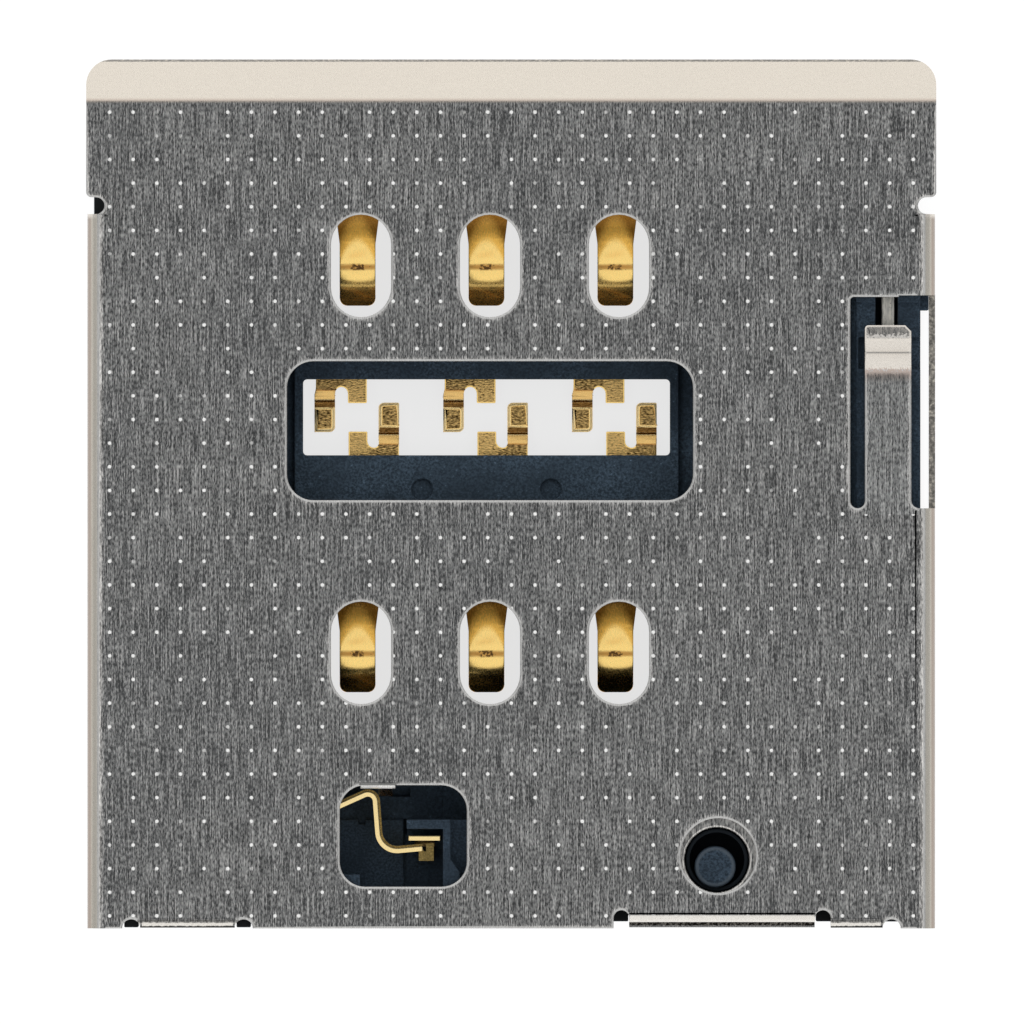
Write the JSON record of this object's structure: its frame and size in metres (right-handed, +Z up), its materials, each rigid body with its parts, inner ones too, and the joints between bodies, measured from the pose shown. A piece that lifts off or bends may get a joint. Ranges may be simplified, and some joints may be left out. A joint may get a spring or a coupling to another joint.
{
  "type": "sim card socket",
  "caption": "Low-profile board socket for a slide-in card tray: folded steel shell, moulded base, gold spring contacts, detect switch, and an eject lever driven by a push rod.",
  "frame": {"origin": "on the board plane, under the middle of the shell's outline", "axes": "+Z up from the board, +Y towards the tray mouth, +X to the side of the push rod"},
  "size_m": [0.0168, 0.0172, 0.0017],
  "materials": {
    "shell_steel": "fine brushed stamped stainless, grain along Y",
    "base_plastic": "dull moulded, blue-black",
    "contact_gold": "gold plate over copper alloy",
    "lever_steel": "brushed stamped stainless",
    "rod_steel": "rolled stainless, cut edge up"
  },
  "bodies": {
    "socket": {"shell": "shell_steel", "base": "base_plastic", "contact_front_left": "contact_gold", "contact_front_middle": "contact_gold", "contact_front_right": "contact_gold", "contact_rear_left": "contact_gold", "contact_rear_middle": "contact_gold", "contact_rear_right": "contact_gold", "detect_spring": "contact_gold", "detect_terminal": "contact_gold"},
    "rod": {"push_rod": "rod_steel"},
    "lever": {"eject_lever": "lever_steel"}
  },
  "joints": [
    {"name": "rod_slide", "type": "slide", "parent": "socket", "child": "rod", "axis": [0, -1, 0], "range_m": [0, 0.0014]},
    {"name": "lever_swing", "type": "hinge", "parent": "socket", "child": "lever", "pos_m": [0.00405, -0.00721, 0.00113], "axis": [0, 0, -1], "range_deg": [0, 23.5]}
  ],
  "couplings": [
    {"joint": "lever_swing", "follows": "rod_slide", "rad_per_m": 292.58}
  ]
}
